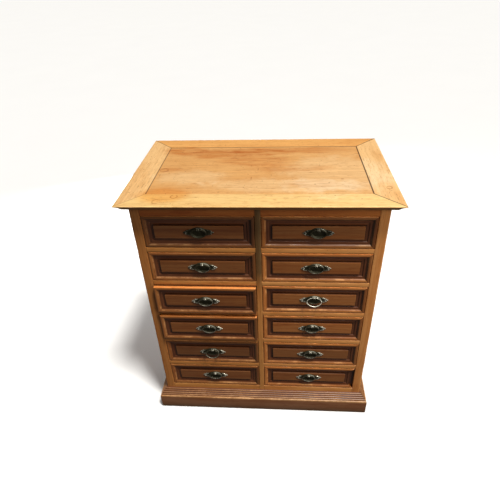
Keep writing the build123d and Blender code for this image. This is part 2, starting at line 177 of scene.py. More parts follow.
def make_wood(name, figure=0.5, streaks=0.5, pores=0.5, specks=0.4, roughness=(0.36, 0.55), coat=0.1,
              coat_roughness=0.3, bump=0.25, wear_and_sheen_tint=(1.25, 1.3, 1.35), stains=None):
    """Polished wood. figure, streaks, pores and specks are how strongly each shows, 0 to 1."""
    paint = Paint(name)
    grain = paint.attribute("grain", "Vector")
    base = paint.attribute("base", "Color")
    wear = paint.attribute("wear")

    wander = paint.noise(paint.stretched(grain, (2.2, 9, 9)), 1.0, 2.0)
    wander = paint.math("MULTIPLY", paint.math("SUBTRACT", wander, 0.5), 0.05)
    offset = paint.node("CombineXYZ", {"Y": wander, "Z": wander})
    bent = paint.node("VectorMath", {0: grain, 1: offset}, operation="ADD")

    broad = paint.noise(paint.stretched(bent, (1.6, 34, 34)), 1.0, 3.0, 0.6)
    rings = paint.node("TexWave", {"Vector": paint.stretched(bent, (0.5, 26, 26)), "Scale": 1.0,
                                   "Distortion": 5.0, "Detail": 2.0, "Detail Scale": 0.8},
                       output="Fac", bands_direction="Y", wave_profile="SIN")
    fine = paint.noise(paint.stretched(bent, (8, 130, 130)), 1.0, 6.0, 0.72)
    pore = paint.noise(paint.stretched(bent, (34, 520, 520)), 1.0, 1.0)
    blotch = paint.noise(paint.stretched(grain, (5, 11, 11)), 1.0, 4.0, 0.6)
    speck = paint.noise(grain, 190.0, 1.0)

    colour = base
    for share, strength, tint in ((paint.band(broad, 0.42, 0.72), figure, (0.74, 0.56, 0.36)),
                                  (paint.band(rings, 0.55, 1.0), 0.6 * figure, (0.84, 0.72, 0.54)),
                                  (paint.band(fine, 0.5, 0.3), 0.6 * streaks, (1.22, 1.22, 1.2)),
                                  (paint.band(fine, 0.52, 0.78), streaks, (0.72, 0.54, 0.34)),
                                  (paint.band(blotch, 0.5, 0.75), 0.6, (0.80, 0.64, 0.45)),
                                  (paint.band(blotch, 0.45, 0.25), 0.5, (1.18, 1.16, 1.1)),
                                  (paint.band(pore, 0.6, 0.75), pores, (0.58, 0.38, 0.22)),
                                  (paint.band(speck, 0.74, 0.8), specks, (0.3, 0.2, 0.12))):
        colour = paint.tinted(colour, share, tint, strength)
    if stains:
        colour = stains(paint, colour)
    # The wear mask lightens rubbed arrises; with the drawer wood's cream tint it also paints a highlight
    # along the mouldings' crests
    rubbed = paint.math("MULTIPLY", wear, paint.band(paint.noise(grain, 18.0, 6.0, 0.7), 0.45, 0.66))
    colour = paint.mix(rubbed, colour, paint.tinted(colour, 1.0, wear_and_sheen_tint))
    paint.feed(paint.shader.inputs["Base Color"], colour)

    gloss = paint.math("ADD", paint.math("MULTIPLY", fine, 0.5), paint.math("MULTIPLY", blotch, 0.5))
    paint.feed(paint.shader.inputs["Roughness"], paint.band(gloss, 0.3, 0.7, *roughness))
    paint.shader.inputs["Specular IOR Level"].default_value = 0.35
    paint.shader.inputs["Coat Weight"].default_value = coat
    paint.shader.inputs["Coat Roughness"].default_value = coat_roughness
    relief = paint.math("SUBTRACT", paint.math("MULTIPLY", fine, 0.6), paint.math("MULTIPLY", pore, 0.4))
    paint.bump(relief, 0.4 * MM, bump)
    return paint.material


def top_stains(paint, colour):
    """Old marks on the top: brown patches, an orange stain, cuts, rings, scratches and dots; also pale
    patches, partly painted sheen.
    """
    dark_mark = (0.5, 0.33, 0.2)
    place = paint.node("TexCoord", {}, "Object")
    streaky = paint.band(paint.noise(paint.stretched(place, (9, 60, 1)), 1.0, 4.0, 0.65), 0.38, 0.6, 0.35)
    for centre, radius, strength in (((-0.28, 0.150), (0.095, 0.045), 0.9),
                                     ((-0.15, 0.120), (0.15, 0.045), 0.75),
                                     ((0.00, 0.140), (0.14, 0.036), 0.95),
                                     ((0.18, 0.150), (0.14, 0.030), 0.6),
                                     ((-0.02, 0.060), (0.15, 0.050), 0.6),
                                     ((0.10, 0.00), (0.16, 0.035), 0.5),
                                     ((0.16, -0.12), (0.10, 0.03), 0.35),
                                     ((-0.30, -0.01), (0.05, 0.02), 0.4)):
        share = paint.math("MULTIPLY", paint.spot(place, centre, radius), streaky)
        colour = paint.tinted(colour, share, (0.74, 0.47, 0.24), strength)
    glaze = paint.spot(place, (-0.285, -0.193), (0.092, 0.056), 0.1)
    colour = paint.tinted(colour, glaze, (0.93, 0.72, 0.46), 0.9)
    # Pale patches towards the front and the right: partly the wood's own colour, partly a painted sheen on
    # the polish
    for centre, radius in (((0.24, -0.05), (0.20, 0.17)), ((-0.22, -0.07), (0.14, 0.06)),
                           ((0.08, -0.13), (0.28, 0.055))):
        pale = paint.spot(place, centre, radius, 0.5)
        colour = paint.tinted(colour, pale, (1.09, 1.3, 1.75), 0.8)
    for centre, radius in (((-0.026, -0.077), (0.0018, 0.011)), ((-0.007, -0.010), (0.0016, 0.014)),
                           ((0.045, -0.150), (0.009, 0.0015)), ((0.26, -0.085), (0.006, 0.004))):
        colour = paint.tinted(colour, paint.spot(place, centre, radius, 0.15), (0.6, 0.38, 0.2), 0.75)
    for centre, radius, width, strength in (((-0.250, -0.203), 0.010, 0.0032, 0.8),
                                            ((-0.297, -0.234), 0.012, 0.0034, 0.75),
                                            ((0.392, -0.146), 0.008, 0.0030, 0.9),
                                            ((-0.322, -0.014), 0.013, 0.0034, 0.9)):
        mark = paint.ring_mark(place, centre, radius, width)
        colour = paint.tinted(colour, mark, (0.62, 0.40, 0.22), strength)
    scratches = paint.noise(paint.stretched(place, (240, 26, 1)), 1.0, 0.0)
    few = paint.band(paint.noise(place, 9.0, 1.0), 0.52, 0.6)
    scratch = paint.math("MULTIPLY", paint.band(scratches, 0.78, 0.84), few)
    colour = paint.tinted(colour, scratch, dark_mark, 0.6)
    dots = paint.band(paint.noise(place, 95.0, 0.0), 0.80, 0.86)
    return paint.tinted(colour, dots, dark_mark, 0.7)


def make_bronze():
    """Dark patinated bronze, painted bright on what stands proud: rubbed metal, and painted glints."""
    paint = Paint("bronze")
    place = paint.node("TexCoord", {}, "Object")
    wear = paint.attribute("wear")
    grime = paint.attribute("grime")
    mottle = paint.noise(place, 420.0, 4.0, 0.6)
    # rubbed follows the wear attribute with a mottle: rubbed metal, and on the plates and rings also painted
    # glints
    rubbed = paint.math("ADD", wear, paint.math("MULTIPLY", paint.math("SUBTRACT", mottle, 0.5), 0.9))
    rubbed = paint.math("SUBTRACT", paint.band(rubbed, 0.57, 1.0), paint.math("MULTIPLY", grime, 0.8))
    rubbed = paint.node("Clamp", {"Value": rubbed})
    patina = paint.mix(mottle, (0.018, 0.017, 0.008, 1), (0.066, 0.058, 0.028, 1))
    paint.feed(paint.shader.inputs["Base Color"], paint.mix(rubbed, patina, (0.80, 0.76, 0.62, 1)))
    paint.feed(paint.shader.inputs["Roughness"], paint.band(rubbed, 0.0, 1.0, 0.5, 0.36))
    paint.shader.inputs["Metallic"].default_value = 0.65
    paint.bump(paint.noise(place, 900.0, 3.0), 0.25 * MM, 0.5)
    return paint.material


def make_plain_pine(name, base, dark):
    """Bare pine for the pieces inside, by their place in the cabinet; the grain runs along Y."""
    paint = Paint(name)
    place = paint.node("TexCoord", {}, "Object")
    wander = paint.math("MULTIPLY", paint.noise(place, 7.0, 2.0), 0.08)
    bent = paint.node("VectorMath", {0: place, 1: paint.node("CombineXYZ", {"X": wander, "Z": wander})},
                      operation="ADD")
    figure = paint.noise(paint.stretched(bent, (70, 3, 70)), 1.0, 4.0, 0.6)
    fibre = paint.noise(paint.stretched(bent, (520, 14, 520)), 1.0, 3.0, 0.6)
    soil = paint.noise(place, 11.0, 5.0, 0.65)
    colour = paint.mix(paint.band(figure, 0.4, 0.68), (*linear(base), 1), (*linear(dark), 1))
    colour = paint.tinted(colour, paint.band(fibre, 0.45, 0.75, 0.0, 0.7), (0.7, 0.6, 0.5))
    colour = paint.tinted(colour, paint.band(soil, 0.45, 0.75, 0.0, 0.8), (0.62, 0.55, 0.47))
    paint.feed(paint.shader.inputs["Base Color"], colour)
    paint.feed(paint.shader.inputs["Roughness"], paint.band(soil, 0.3, 0.7, 0.62, 0.85))
    paint.bump(fibre, 0.4 * MM, 0.4)
    return paint.material


def make_floor_material():
    paint = Paint("floor_paint")
    place = paint.node("TexCoord", {}, "Object")
    cloud = paint.noise(place, 1.5, 3.0)
    paint.feed(paint.shader.inputs["Base Color"],
               paint.mix(cloud, (0.94, 0.94, 0.94, 1), (0.97, 0.97, 0.97, 1)))
    paint.shader.inputs["Roughness"].default_value = 0.9
    return paint.material


# ---------------------------------------------------------------- boards

# u and v are metres in the board's section; wear is 1 on a rubbed arris and on a painted highlight; colour is
# the finish there, with painted light and shade in places
Point = namedtuple("Point", "u v wear colour")


def bowed(start, end, bow, count):
    """Points of a shallow arc from start to end, bowed to the left of its direction; ends left out."""
    (u0, v0), (u1, v1) = start, end
    across = (v0 - v1, u1 - u0)
    length = math.hypot(*across)
    points = []
    for index in range(1, count):
        t = index / count
        rise = 4 * bow * t * (1 - t) / length
        points.append((u0 + (u1 - u0) * t + across[0] * rise, v0 + (v1 - v0) * t + across[1] * rise))
    return points


def section_normals(section):
    """Unit vectors out of a closed section, one for each point."""
    area = sum(a.u * b.v - b.u * a.v for a, b in zip(section, section[1:] + section[:1]))
    turn = 1 if area > 0 else -1
    normals = []
    for index in range(len(section)):
        before, after = section[index - 1], section[(index + 1) % len(section)]
        normal = Vector(((after.v - before.v) * turn, (before.u - after.u) * turn))
        normals.append(normal.normalized() if normal.length > 0 else normal)
    return normals


def finish_mesh(name, bm, material, body, sharp=32):
    """Close the mesh, shade it smooth between its sharp edges, and let it ride on a body."""
    bmesh.ops.recalc_face_normals(bm, faces=bm.faces)
    mesh = bpy.data.meshes.new(name)
    bm.to_mesh(mesh)
    bm.free()
    mesh.polygons.foreach_set("use_smooth", [True] * len(mesh.polygons))
    mesh.set_sharp_from_angle(angle=math.radians(sharp))
    mesh.materials.append(material)
    piece = bpy.data.objects.new(name, mesh)
    bpy.context.scene.collection.objects.link(piece)
    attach(piece, body)
    return piece


def wood_mesh():
    """An empty mesh with the attributes that the wood materials read."""
    bm = bmesh.new()
    layers = bm.verts.layers
    return bm, (layers.float_vector.new("grain"), layers.float_color.new("base"), layers.float.new("wear"))


def skin(bm, loops):
    """Faces between each loop of vertices and the next, and one across each end."""
    for first, second in zip(loops, loops[1:]):
        for index in range(len(first)):
            bm.faces.new((first[index - 1], first[index], second[index], second[index - 1]))
    bm.faces.new(loops[0])
    bm.faces.new(loops[-1])


def swept(name, section, origin, along, inward, outward, half, material, slot, body, mitres=(0, 0),
          gap=0.0, spacing=0.02, rubbed=0.4 * MM, end_dirt=(0, 0), paint_at=None, chips=()):
    """A board whose section runs from end to end along its grain.

    mitres: how much each end draws back for each unit of u. end_dirt darkens the ends. paint_at gives a
    vertex another colour. chips: places along the board where the outer top arris is broken.
    """
    count = max(2, round(2 * half / spacing))
    near = 3 * MM / half
    steps = {-1 + 2 * index / count for index in range(count + 1)} | {near - 1, 1 - near}
    for place, size in chips:
        steps |= {(place + size * share) / half for share in (-1, -0.45, 0, 0.5, 1)}
    steps = sorted(steps)
    shift = Vector([chance.uniform(-9, 9) for _ in range(3)])
    normals = section_normals(section)
    bm, (grain_layer, base_layer, wear_layer) = wood_mesh()
    rows = []
    for step in steps:
        row = []
        for point, normal in zip(section, normals):
            low = half - mitres[0] * point.u - gap
            high = half - mitres[1] * point.u - gap
            travel = -low + (low + high) * (step + 1) / 2
            place = origin + along * travel + inward * point.u + outward * point.v
            loss = point.wear * rubbed * max(0.0, 0.35 + noise.noise(place * 55 + shift))
            colour = point.colour.copy()
            for chip_at, size in chips:
                depth = 1 - abs(travel - chip_at) / size
                if depth > 0 and point.wear > 0.5:
                    loss += depth * size * 0.22
                    colour = linear(BARE_WOOD)
            place -= (inward * normal.x + outward * normal.y) * loss
            if paint_at:
                colour = paint_at(place, colour)
            dirt = max(end_dirt[0] * (step == -1), end_dirt[1] * (step == 1))
            vertex = bm.verts.new(place)
            vertex[grain_layer] = Vector((travel, point.u, point.v)) + shift
            vertex[base_layer] = (*colour.lerp(linear(JOINT_DIRT), dirt), 1.0)
            vertex[wear_layer] = point.wear
            row.append(vertex)
        rows.append(row)
    skin(bm, rows)
    return finish_mesh(name, bm, material, body)


def plank_section(width, depth, colour, radius, band=4 * MM, edge_dirt=0.0):
    """A rectangle centred on 0 with rounded, rubbed arrises. band keeps the wear beside the arrises."""
    half_u, half_v = width / 2, depth / 2
    band_u, band_v = (min(radius + band, 0.45 * side) for side in (width, depth))
    ground = linear(colour)
    arris = ground.lerp(linear(JOINT_DIRT), edge_dirt)
    points = []
    for sign_u, sign_v, first in ((1, 1, 0), (-1, 1, 90), (-1, -1, 180), (1, -1, 270)):
        corner = (sign_u * (half_u - radius), sign_v * (half_v - radius))
        flats = [(sign_u * half_u, sign_v * (half_v - band_v)), (sign_u * (half_u - band_u), sign_v * half_v)]
        if first % 180:
            flats.reverse()
        points.append(Point(*flats[0], 0.0, ground))
        for turn in (0, 45, 90):
            angle = math.radians(first + turn)
            u = corner[0] + radius * math.cos(angle)
            v = corner[1] + radius * math.sin(angle)
            points.append(Point(u, v, 1.0, arris))
        points.append(Point(*flats[1], 0.0, ground))
    return points


def plank(name, low, high, grain, colour, material, slot, body, radius=1.2 * MM, **more):
    """A board that fills the box from low to high, with its grain along the axis named."""
    low, high = Vector(low), Vector(high)
    along = AXES[grain]
    inward, outward = {"X": (Y, Z), "Y": (Z, X), "Z": (X, Y)}[grain]
    size = high - low
    arris = {key: more.pop(key) for key in ("band", "edge_dirt") if key in more}
    section = plank_section(abs(size.dot(inward)), abs(size.dot(outward)), colour, radius, **arris)
    return swept(name, section, (low + high) / 2, along, inward, outward, abs(size.dot(along)) / 2,
                 material, slot, body, **more)


def solids(node):
    """The boxes of the separate solids in a CAD node, as (lowest, highest) corners."""
    bm = bmesh.new()
    bm.from_mesh(frame["nodes"][node].data)
    bmesh.ops.remove_doubles(bm, verts=bm.verts, dist=0.01 * MM)
    waiting = set(bm.verts)
    boxes = []
    while waiting:
        group = {waiting.pop()}
        edge = set(group)
        while edge:
            edge = {e.other_vert(v) for v in edge for e in v.link_edges} - group
            group |= edge
        waiting -= group
        corners = list(zip(*(v.co for v in group)))
        boxes.append((Vector([min(c) for c in corners]), Vector([max(c) for c in corners])))
    bm.free()
    return boxes


def left_to_right(node):
    return sorted(solids(node), key=lambda box: box[0].x)


# ---------------------------------------------------------------- top

PANEL_LEDGE = 9 * MM


def top_section(colour, thickness, width, ledge_height, joint_dirt):
    """A thin rounded fillet over a shallow hollow bevel; u runs inwards from the edge, v is 0 on top."""
    ground, edge = linear(colour), linear(TOP_EDGE)
    # The hollow under the fillet is painted at 0.6 of the edge colour: painted shade beneath the overhang
    under = edge * 0.6
    inner = ground.lerp(linear(JOINT_DIRT), joint_dirt)
    outline = [(width, -0.3 * MM, 0, inner), (width - 0.4 * MM, 0, 0, inner),
               (width - 1.8 * MM, 0, 0, ground), (9 * MM, 0, 0, ground),
               (2.0 * MM, 0, 0.5, ground), (0.7 * MM, -0.25 * MM, 1, ground),
               (0.1 * MM, -1.0 * MM, 1, ground), (0, -1.9 * MM, 0.8, edge), (0.1 * MM, -2.6 * MM, 0.4, edge),
               (0.7 * MM, -3.0 * MM, 0, under)]
    start, end = (1.2 * MM, -3.4 * MM), (18 * MM, -thickness + 0.3 * MM)
    outline += [(*point, 0, under) for point in [start] + bowed(start, end, 1.2 * MM, 6) + [end]]
    outline += [(19 * MM, -thickness, 0, under), (width + PANEL_LEDGE, -thickness, 0, under),
                (width + PANEL_LEDGE, -ledge_height, 0, under), (width, -ledge_height, 0, under)]
    return [Point(*row) for row in outline]


def make_top(wood):
    low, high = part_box("top_frame")
    panel_low, panel_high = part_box("top_centre_panel")
    width = panel_low.x - low.x - 0.8 * MM
    thickness = high.z - low.z
    ledge_height = high.z - panel_low.z
    middle = (low + high) / 2
    half_x, half_y = (high.x - low.x) / 2, (high.y - low.y) / 2
    chips = ((-185 * MM, 5 * MM), (-360 * MM, 6 * MM))
    sides = (("top_front_board", -Y, X, half_y, half_x, TOP_FRONT, (0.25, 1), 0.15, chips),
             ("top_right_board", X, Y, half_x, half_y, TOP_SIDES, (1, 1), 0.9, ((120 * MM, 4 * MM),)),
             ("top_back_board", Y, -X, half_y, half_x, TOP_BACK, (1, 0.8), 0.8, ()),
             ("top_left_board", -X, -Y, half_x, half_y, TOP_SIDES, (0.8, 0.35), 0.7, ((60 * MM, 4 * MM),)))
    boards = []
    for name, outward, along, reach, half, colour, end_dirt, joint_dirt, nicks in sides:
        section = top_section(colour, thickness, width, ledge_height, joint_dirt)
        origin = Vector((middle.x, middle.y, high.z)) + outward * reach
        boards.append(swept(name, section, origin, along, -outward, Z, half, wood, "top_wood", "carcass",
                            mitres=(1, 1), gap=0.5 * MM, end_dirt=end_dirt, rubbed=0.5 * MM, chips=nicks))
    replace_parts(boards[0], "top_frame")

    low_x, high_x = panel_low.x - 0.2 * MM, panel_high.x - 0.5 * MM
    low_y, high_y = panel_low.y - 0.6 * MM, panel_high.y - 1.0 * MM
    back_edge = high_y - 1.5 * MM

    def darker_back(place, colour):
        return colour.lerp(linear(JOINT_DIRT), 0.8) if place.y > back_edge else colour

    panel = plank("top_panel", (low_x, low_y, panel_low.z), (high_x, high_y, high.z), "X", PANEL, wood,
                  "top_wood", "carcass", radius=0.4 * MM, band=1.5 * MM, end_dirt=(0.7, 0.9),
                  paint_at=darker_back, rubbed=0)
    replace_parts(panel, "top_centre_panel")


# ---------------------------------------------------------------- carcass


def make_case(wood, pine):
    for box, side in zip(left_to_right("front_stiles"), ("left", "right")):
        stile = plank(side + "_stile", *box, "Z", STILES[side], wood, "case_wood", "carcass", radius=1.5 * MM,
                      spacing=0.03, rubbed=0.8 * MM)
        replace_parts(stile, "front_stiles")

    low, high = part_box("centre_muntin")
    grimy_above = low.z + 0.62 * (high.z - low.z)

    def greasy(place, colour):
        """Grime from the top down to about the third drawer, less along the two edges."""
        height = (place.z - grimy_above) / (high.z - grimy_above)
        ragged = 0.25 * noise.noise(place * 30)
        middle = 1 - 0.45 * (abs(place.x) > 0.45 * (high.x - low.x))
        return colour.lerp(linear(GRIME), min(max(2.5 * height + ragged, 0), 0.85) * middle)

    muntin = plank("centre_muntin_board", low, high, "Z", MUNTIN, wood, "case_wood", "carcass",
                   radius=1.2 * MM, band=3 * MM, paint_at=greasy)
    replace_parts(muntin, "centre_muntin")

    rails = sorted(solids("front_rails"), key=lambda b: (b[0].x, -b[0].z))
    tallest = max(box[1].z for box in rails)
    for index, (low, high) in enumerate(rails):
        column, row = ("left", "right")[index // (ROWS + 1)], index % (ROWS + 1)
        frieze = high.z > tallest - MM
        colour = FRIEZE if frieze else RAILS[column]
        name = f"{column}_frieze" if frieze else f"{column}_rail_{row}"
        rail = plank(name, low, high, "X", colour, wood, "case_wood", "carcass", radius=1.4 * MM,
                     spacing=0.016, rubbed=0.9 * MM, end_dirt=(0.35, 0.35), edge_dirt=0.15)
        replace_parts(rail, "front_rails")

    for (low, high), side in zip(left_to_right("carcass_sides"), (-1, 1)):
        rebate = high.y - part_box("back_boards")[0].y
        inner = low.x if side > 0 else high.x
        depth, thick = high.y - low.y, high.x - low.x
        ground = linear(SIDE_WOOD)
        outline = ((0, 0, 0), (0, thick - MM, 0), (MM, thick, 0), (6 * MM, thick, 0),
                   (depth - 6 * MM, thick, 0), (depth - 1.2 * MM, thick, 1), (depth, thick - 1.2 * MM, 1),
                   (depth, thick / 2, 0), (depth - rebate, thick / 2, 0), (depth - rebate, 0, 0))
        section = [Point(u, v, wear, ground) for u, v, wear in outline]
        origin = Vector((inner, low.y, (low.z + high.z) / 2))
        name = ("left" if side < 0 else "right") + "_side_board"
        board = swept(name, section, origin, Z, Y, X * side, (high.z - low.z) / 2, wood, "case_wood",
                      "carcass", spacing=0.03)
        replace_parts(board, "carcass_sides")

    for index, box in enumerate(left_to_right("back_boards")):
        board = plank(f"back_board_{index + 1}", *box, "Z", OLD_PINE, pine, "inner_wood", "carcass",
                      radius=1.2 * MM, band=2 * MM, spacing=0.06, edge_dirt=0.8)
        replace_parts(board, "back_boards")


# ---------------------------------------------------------------- plinth


def plinth_board_section(height, projection):
    """An upright board with a rounded, rubbed upper arris; v is 0 at its top."""
    ground, bare = linear(PLINTH), linear(PLINTH).lerp(linear(BARE_WOOD), 0.35)
    round_off = 4 * MM
    rows = [(projection, 0, 0, ground), (9 * MM, 0, 0, ground), (round_off, 0, 1, bare)]
    rows += [(round_off * (1 - math.sin(angle)), round_off * (math.cos(angle) - 1), 1, bare)
             for angle in map(math.radians, (30, 60, 90))]
    rows += [(0, -9 * MM, 0, ground), (0, -height * 0.6, 0, ground * 0.9),
             (0, -height + 4 * MM, 0.2, ground.lerp(linear(GRIME), 0.4)),
             (1.2 * MM, -height, 0.6, ground.lerp(linear(GRIME), 0.6)), (projection, -height, 0, ground)]
    return [Point(*row) for row in rows]


def plinth_reed_section(height, projection, reeds=4, start=4 * MM, lip=4 * MM):
    """Rounded reeds that step back from the plinth to the case; v is 0 at the plinth's top."""
    ground, crest = linear(PLINTH_REEDS), linear(PLINTH_REEDS).lerp(linear(BARE_WOOD), 0.35)
    # The grooves between the reeds are painted near the dark joint colour: dirt in the creases, and painted
    # shade there
    groove = linear(PLINTH_REEDS).lerp(linear(JOINT_DIRT), 0.8)
    rows = []
    run, rise = (projection - start - lip) / reeds, height / reeds
    for reed in range(reeds):
        low = (start + reed * run, reed * rise)
        high = (low[0] + run, low[1] + rise)
        arc = bowed(low, high, 1.7 * MM, 5)
        rows.append((*low, 0, groove))
        rows += [(*point, wear, tone) for point, wear, tone in
                 zip(arc, (0.1, 0.6, 1, 0.4), (groove.lerp(ground, 0.6), ground, crest, ground))]
    rows += [(projection - lip, height, 0, groove), (projection, height, 0, ground),
             (projection, 0, 0, ground)]
    return [Point(*row) for row in rows]


def make_plinth(wood, pine):
    low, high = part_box("plinth_boards")
    case_low, case_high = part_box("carcass_sides")[0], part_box("carcass_sides")[1]
    projection = case_low.x - low.x
    reed_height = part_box("plinth_moulding")[1].z - high.z
    middle = Vector(((low.x + high.x) / 2, (low.y + high.y) / 2, high.z))
    half_x, half_y = (high.x - low.x) / 2, (high.y - low.y) / 2
    board_section = plinth_board_section(high.z - low.z, projection)
    reed_section = plinth_reed_section(reed_height, projection)
    for name, outward, along, reach, half, mitres in (("front", -Y, X, half_y, half_x, (1, 1)),
                                                      ("right", X, Y, half_x, half_y, (1, 0)),
                                                      ("left", -X, -Y, half_x, half_y, (0, 1))):
        origin = middle + outward * reach
        dirt = (0.5 * mitres[0], 0.5 * mitres[1])
        board = swept(name + "_plinth_board", board_section, origin, along, -outward, Z, half, wood,
                      "plinth_wood", "carcass", mitres=mitres, gap=0.05 * MM, rubbed=1.0 * MM, end_dirt=dirt)
        reeds = swept(name + "_plinth_reeds", reed_section, origin, along, -outward, Z, half, wood,
                      "plinth_wood", "carcass", mitres=mitres, gap=0.05 * MM, rubbed=0.5 * MM, end_dirt=dirt)
        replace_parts(board, "plinth_boards")
        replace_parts(reeds, "plinth_moulding")
    tall, thick = case_low.z, 30 * MM
    front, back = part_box("front_stiles")[0].y, high.y
    inner_x = case_high.x - thick
    boxes = {"front": ((case_low.x, front, 0), (case_high.x, front + thick, tall), "X"),
             "back": ((case_low.x, back - thick, 0), (case_high.x, back, tall), "X"),
             "left": ((case_low.x, front + thick, 0), (-inner_x, back - thick, tall), "Y"),
             "right": ((inner_x, front + thick, 0), (case_high.x, back - thick, tall), "Y")}
    for name, (start, end, grain) in boxes.items():
        board = plank(name + "_bearer_board", start, end, grain, OLD_PINE, pine, "inner_wood", "carcass",
                      spacing=0.06)
        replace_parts(board, "plinth_boards")


# ---------------------------------------------------------------- drawer fronts

MOULDING_WIDTH = 31.5 * MM
QUIRK = 2 * MM
FIELD_RISE = 8 * MM
NOSE_HEIGHT = 2.5 * MM
BOARD_THICKNESS = 14 * MM
BROKEN = ("right", 6, "right")  # the moulding whose nose is lost

# How pale each field is beside the colours above, the left column's fields painted darker than the right's as
# painted shade, the rest the wood's own spread; and the painted light on each column's mouldings, darker on
# the left and lighter on the right
FIELD_TONES = {"left": (0.86, 0.72, 0.82, 0.88, 0.6, 0.78), "right": (0.96, 0.94, 1.0, 1.2, 0.78, 0.88)}
COLUMN_LIGHT = {"left": 0.74, "right": 1.06}

# Painted light and shade on the outer edge, the nose and the channel of each strip round a field, by the way
# the strip faces: the top edge lit from above, the left nose lit from the right, the right nose in shade
MOULDING_LIGHT = {"top": (2.3, 0.8, 1.25), "left": (1.1, 1.5, 0.95), "bottom": (1.1, 1.15, 0.8),
                  "right": (0.8, 0.5, 1.0)}


def moulding_section(edge_tone, lip_tone, channel_tone, nose=True):
    """A rounded ochre nose, a brown slope with two thin reeds, and a dark channel beside the field."""
    outer, lip, slope = linear(LIP) * edge_tone, linear(LIP) * lip_tone, linear(SLOPE)
    deep, crest = linear(CHANNEL) * channel_tone, lip * 0.55
    shade = slope.lerp(deep, 0.55)
    # The crest points, worn 1 on the nose's inner slope, are where the drawer wood paints a highlight, as
    # well as the rubbed arris
    rows = [(0, -8, 0, outer), (0, -0.3, 0.1, outer), (0.5, 0.7, 0.4, outer), (2.0, 1.4, 0.1, lip),
            (4.6, 2.1, 0, lip), (6.6, 2.4, 0, lip), (8.4, 2.5, 0.1, lip), (9.8, 2.25, 0.4, crest),
            (11.0, 1.5, 1, crest), (12.2, 0.3, 1, crest), (13.4, -1.2, 0.5, crest)]
    if not nose:
        rows = [(14, -8, 0, deep)]
    # The last points, at 0.6 of the channel colour, paint shade into the quirk beside the field
    rows += [(14.4, -2.4, 0.2, slope), (15.4, -2.9, 0, slope), (17.0, -3.2, 0, shade),
             (17.6, -3.2, 0, slope), (18.6, -2.95, 0.2, slope), (20.0, -3.0, 0.2, slope),
             (21.4, -3.35, 0.2, slope), (22.5, -4.0, 0, slope), (23.0, -4.7, 0, deep), (24.0, -5.6, 0, deep),
             (25.5, -5.7, 0, deep), (30.0, -6.1, 0, deep), (31.5, -6.2, 0, deep * 0.6), (31.5, -8, 0, deep)]
    return [Point(u * MM, v * MM, wear, colour) for u, v, wear, colour in rows]


def stepped_board(name, face, width, height, rows, material, body):
    """A board whose face steps up to a raised field; rows are (inset, v, wear, colour) from the back."""
    shift = Vector([chance.uniform(-9, 9) for _ in range(3)])
    bm, (grain_layer, base_layer, wear_layer) = wood_mesh()
    loops = []
    for inset, rise, wear, colour in rows:
        half_x, half_z = width / 2 - inset, height / 2 - inset
        loop = []
        for sx, sz in ((-1, -1), (1, -1), (1, 1), (-1, 1)):
            vertex = bm.verts.new(face + X * (sx * half_x) + Z * (sz * half_z) - Y * rise)
            vertex[grain_layer] = Vector((sx * half_x, sz * half_z, rise)) + shift
            vertex[base_layer] = (*colour, 1.0)
            vertex[wear_layer] = wear
            loop.append(vertex)
        loops.append(loop)
    skin(bm, loops)
    return finish_mesh(name, bm, material, body)


def make_front(column, row, wood):
    node = f"drawer_{column}_{row}_front"
    body = f"{column}_drawer_{row}"
    low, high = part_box(node)
    face = Vector(((low.x + high.x) / 2, low.y + NOSE_HEIGHT, (low.z + high.z) / 2))
    width, height = high.x - low.x, high.z - low.z
    ground = linear(FIELD) * FIELD_TONES[column][row - 1]
    # The channel floor and the step up to the field are painted at 0.6 of the channel colour: painted shade
    # in the quirk
    deep = linear(CHANNEL) * 0.6
    inset = MOULDING_WIDTH + QUIRK
    rows = [(0, -FIELD_RISE - BOARD_THICKNESS, 0, ground), (0, -FIELD_RISE, 0, deep),
            (inset - MM, -FIELD_RISE, 0, deep), (inset, -FIELD_RISE, 0, deep), (inset, -1.2 * MM, 0, deep),
            (inset + 0.3 * MM, -0.3 * MM, 0.2, ground), (inset + 1.1 * MM, 0, 0.2, ground),
            (inset + 5 * MM, 0, 0, ground)]
    board = stepped_board(f"{column}_{row}_field_board", face, width, height, rows, wood, body)
    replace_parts(board, node)
    for edge, outward, along in (("right", X, Z), ("top", Z, -X), ("left", -X, -Z), ("bottom", -Z, X)):
        reach = (width if edge in ("right", "left") else height) / 2
        half = (height if edge in ("right", "left") else width) / 2
        # Painted light: the left column's mouldings are painted darker than the right's, and the top row's
        # darker still, a painted shadow under the top's overhang
        brightness = COLUMN_LIGHT[column] * (0.7 if row == 1 else 1)
        edge_tone, lip_tone, channel_tone = MOULDING_LIGHT[edge]
        section = moulding_section(edge_tone * brightness, lip_tone * brightness, channel_tone,
                                   (column, row, edge) != BROKEN)
        strip = swept(f"{column}_{row}_{edge}_moulding", section, face + outward * reach, along, -outward,
                      -Y, half, wood, "drawer_wood", body, mitres=(1, 1), gap=0.08 * MM, spacing=0.014,
                      rubbed=0.7 * MM, end_dirt=(0.3, 0.3))
        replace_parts(strip, node)
    return face


# ---------------------------------------------------------------- ring pulls

BRIGHT_RING = ("right", 3)
# The handles that are duller than the rest, and how much grime is on them
DULL_HANDLES = {("left", 1): 0.9, ("right", 1): 0.6, ("left", 2): 0.25, ("right", 2): 0.3,
                ("left", 5): 0.25}
# Half sizes of a plate and of its dish, and how far from the middle its pins are, in millimetres
PLATE_REACH = 48.0
DISH_X, DISH_Y = 27, 18.5
PIN_REACH = 37

